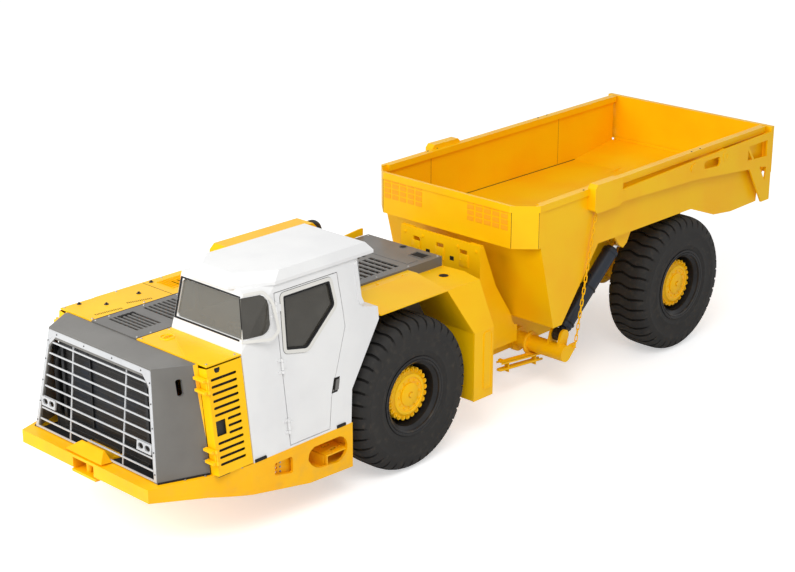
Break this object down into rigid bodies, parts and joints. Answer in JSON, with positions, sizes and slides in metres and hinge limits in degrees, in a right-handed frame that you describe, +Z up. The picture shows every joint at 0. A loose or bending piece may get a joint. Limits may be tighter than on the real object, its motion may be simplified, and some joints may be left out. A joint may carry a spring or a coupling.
{
  "type": "underground mining truck",
  "caption": "Low articulated underground mining truck with a side cab, a hinged rear unit and a rear-tipping dump box with a chain-opened tailgate.",
  "frame": {"origin": "on the ground under the middle of the overall box", "axes": "+X towards the radiator, +Y to the cab side, +Z up"},
  "size_m": [9.15, 2.4, 2.4099],
  "materials": {
    "yellow": "satin",
    "orange": "satin",
    "grey": "satin",
    "white": "gloss",
    "silver": "satin",
    "black": "satin",
    "iron": "matte",
    "steel": "satin",
    "chrome": "polished",
    "hub": "satin",
    "tyre": "matte",
    "glass": "polished",
    "seat": "matte",
    "black_plastic": "matte"
  },
  "bodies": {
    "front_unit": {"front_frame": "yellow", "bumper_deck": "orange", "radiator_cowl": "grey", "radiator_grille": "silver", "radiator_core": "black", "engine_block": "iron", "centre_hood": "grey", "left_cover": "yellow", "right_hood": "yellow", "rear_hood": "grey", "air_cleaner_box": "yellow", "exhaust_pipe": "black", "cab_shell": "white", "cab_roof": "white", "windshield": "glass", "quarter_glass": "glass", "right_glass": "glass", "rear_glass": "glass", "driver_seat": "seat", "seat_pedestal": "black", "control_console": "black_plastic", "tow_pin": "steel", "front_axle": "yellow", "left_fender": "yellow", "right_fender": "yellow"},
    "cab_door": {"cab_door": "white", "door_glass": "glass"},
    "left_louvred_door": {"left_louvred_door": "yellow"},
    "right_louvred_door": {"right_louvred_door": "yellow"},
    "wheel_front_left": {"tyre_front_left": "tyre", "wheel_front_left": "hub"},
    "wheel_front_right": {"tyre_front_right": "tyre", "wheel_front_right": "hub"},
    "wheel_rear_left": {"tyre_rear_left": "tyre", "wheel_rear_left": "hub"},
    "wheel_rear_right": {"tyre_rear_right": "tyre", "wheel_rear_right": "hub"},
    "hitch_carrier": {"hitch_carrier": "yellow", "hitch_pins": "steel"},
    "rear_unit": {"rear_frame": "yellow", "rear_axle": "yellow"},
    "steer_barrel_left": {"steer_barrel_left": "yellow"},
    "steer_rod_left": {"steer_rod_left": "chrome"},
    "hoist_barrel_left": {"hoist_barrel_left": "black"},
    "hoist_stage_left": {"hoist_stage_left": "black"},
    "hoist_rod_left": {"hoist_rod_left": "chrome"},
    "gate_chain_left": {"gate_chain_left": "yellow"},
    "steer_barrel_right": {"steer_barrel_right": "yellow"},
    "steer_rod_right": {"steer_rod_right": "chrome"},
    "hoist_barrel_right": {"hoist_barrel_right": "black"},
    "hoist_stage_right": {"hoist_stage_right": "black"},
    "hoist_rod_right": {"hoist_rod_right": "chrome"},
    "gate_chain_right": {"gate_chain_right": "yellow"},
    "dump_box": {"dump_box": "yellow"},
    "tailgate": {"tailgate": "yellow"}
  },
  "joints": [
    {"name": "articulation", "type": "hinge", "parent": "front_unit", "child": "hitch_carrier", "pos_m": [0.118, 0, 0.705], "axis": [0, 0, 1], "range_deg": [-40, 40]},
    {"name": "oscillation", "type": "hinge", "parent": "hitch_carrier", "child": "rear_unit", "pos_m": [-0.112, 0, 0.705], "axis": [1, 0, 0], "range_deg": [-6, 6]},
    {"name": "box_tip", "type": "hinge", "parent": "rear_unit", "child": "dump_box", "pos_m": [-3.652, 0, 1.15], "axis": [0, -1, 0], "range_deg": [0, 60]},
    {"name": "tailgate_swing", "type": "hinge", "parent": "dump_box", "child": "tailgate", "pos_m": [-3.602, 0, 2.15], "axis": [0, -1, 0], "range_deg": [-61.61, 0]},
    {"name": "chain_swing_left", "type": "hinge", "parent": "rear_unit", "child": "gate_chain_left", "pos_m": [-1.002, 1.131, 0.56], "axis": [0, -1, 0], "range_deg": [0, 38.51]},
    {"name": "chain_swing_right", "type": "hinge", "parent": "rear_unit", "child": "gate_chain_right", "pos_m": [-1.002, -1.131, 0.56], "axis": [0, -1, 0], "range_deg": [0, 38.51]},
    {"name": "hoist_foot_left", "type": "hinge", "parent": "rear_unit", "child": "hoist_barrel_left", "pos_m": [-0.952, 0.95, 0.67], "axis": [0, -1, 0], "range_deg": [-4.66, 0]},
    {"name": "hoist_stage_left", "type": "slide", "parent": "hoist_barrel_left", "child": "hoist_stage_left", "axis": [-0.7598, 0, 0.6501], "range_m": [0, 0.8799]},
    {"name": "hoist_rod_left", "type": "slide", "parent": "hoist_stage_left", "child": "hoist_rod_left", "axis": [-0.7598, 0, 0.6501], "range_m": [0, 0.8799]},
    {"name": "hoist_foot_right", "type": "hinge", "parent": "rear_unit", "child": "hoist_barrel_right", "pos_m": [-0.952, -0.95, 0.67], "axis": [0, -1, 0], "range_deg": [-4.66, 0]},
    {"name": "hoist_stage_right", "type": "slide", "parent": "hoist_barrel_right", "child": "hoist_stage_right", "axis": [-0.7598, 0, 0.6501], "range_m": [0, 0.8799]},
    {"name": "hoist_rod_right", "type": "slide", "parent": "hoist_stage_right", "child": "hoist_rod_right", "axis": [-0.7598, 0, 0.6501], "range_m": [0, 0.8799]},
    {"name": "steer_foot_left", "type": "hinge", "parent": "front_unit", "child": "steer_barrel_left", "pos_m": [1.018, 0.3, 0.705], "axis": [0, 0, 1], "range_deg": [-2.32, 2.32]},
    {"name": "steer_slide_left", "type": "slide", "parent": "steer_barrel_left", "child": "steer_rod_left", "axis": [-1, 0, 0], "range_m": [-0.1969, 0.1969]},
    {"name": "steer_foot_right", "type": "hinge", "parent": "front_unit", "child": "steer_barrel_right", "pos_m": [1.018, -0.3, 0.705], "axis": [0, 0, 1], "range_deg": [-2.32, 2.32]},
    {"name": "steer_slide_right", "type": "slide", "parent": "steer_barrel_right", "child": "steer_rod_right", "axis": [-1, 0, 0], "range_m": [-0.1969, 0.1969]},
    {"name": "roll_front_left", "type": "hinge", "parent": "front_unit", "child": "wheel_front_left", "pos_m": [1.498, 0.905, 0.775], "axis": [0, 1, 0], "continuous": true},
    {"name": "roll_front_right", "type": "hinge", "parent": "front_unit", "child": "wheel_front_right", "pos_m": [1.498, -0.905, 0.775], "axis": [0, 1, 0], "continuous": true},
    {"name": "roll_rear_left", "type": "hinge", "parent": "rear_unit", "child": "wheel_rear_left", "pos_m": [-2.902, 0.905, 0.775], "axis": [0, 1, 0], "continuous": true},
    {"name": "roll_rear_right", "type": "hinge", "parent": "rear_unit", "child": "wheel_rear_right", "pos_m": [-2.902, -0.905, 0.775], "axis": [0, 1, 0], "continuous": true},
    {"name": "cab_door_hinge", "type": "hinge", "parent": "front_unit", "child": "cab_door", "pos_m": [3.148, 1.09296, 1.5], "axis": [0, 0.1231, -0.9924], "range_deg": [0, 75]},
    {"name": "left_louvred_door_hinge", "type": "hinge", "parent": "front_unit", "child": "left_louvred_door", "pos_m": [3.998, 1.11776, 1.3], "axis": [0, 0.1231, -0.9924], "range_deg": [0, 90]},
    {"name": "right_louvred_door_hinge", "type": "hinge", "parent": "front_unit", "child": "right_louvred_door", "pos_m": [3.998, -1.11776, 1.3], "axis": [0, 0.1231, 0.9924], "range_deg": [0, 90]}
  ],
  "couplings": [
    {"joint": "tailgate_swing", "follows": "box_tip", "ratio": -1.0267},
    {"joint": "chain_swing_left", "follows": "box_tip", "ratio": 0.64167},
    {"joint": "chain_swing_right", "follows": "box_tip", "ratio": 0.64167},
    {"joint": "hoist_foot_left", "follows": "box_tip", "ratio": -0.077487},
    {"joint": "hoist_stage_left", "follows": "box_tip", "m_per_rad": 0.83929},
    {"joint": "hoist_rod_left", "follows": "box_tip", "m_per_rad": 0.83929},
    {"joint": "hoist_foot_right", "follows": "box_tip", "ratio": -0.077487},
    {"joint": "hoist_stage_right", "follows": "box_tip", "m_per_rad": 0.83929},
    {"joint": "hoist_rod_right", "follows": "box_tip", "m_per_rad": 0.83929},
    {"joint": "steer_foot_left", "follows": "articulation", "ratio": 0.057704},
    {"joint": "steer_slide_left", "follows": "articulation", "m_per_rad": 0.28063},
    {"joint": "steer_foot_right", "follows": "articulation", "ratio": 0.057704},
    {"joint": "steer_slide_right", "follows": "articulation", "m_per_rad": -0.28063}
  ]
}
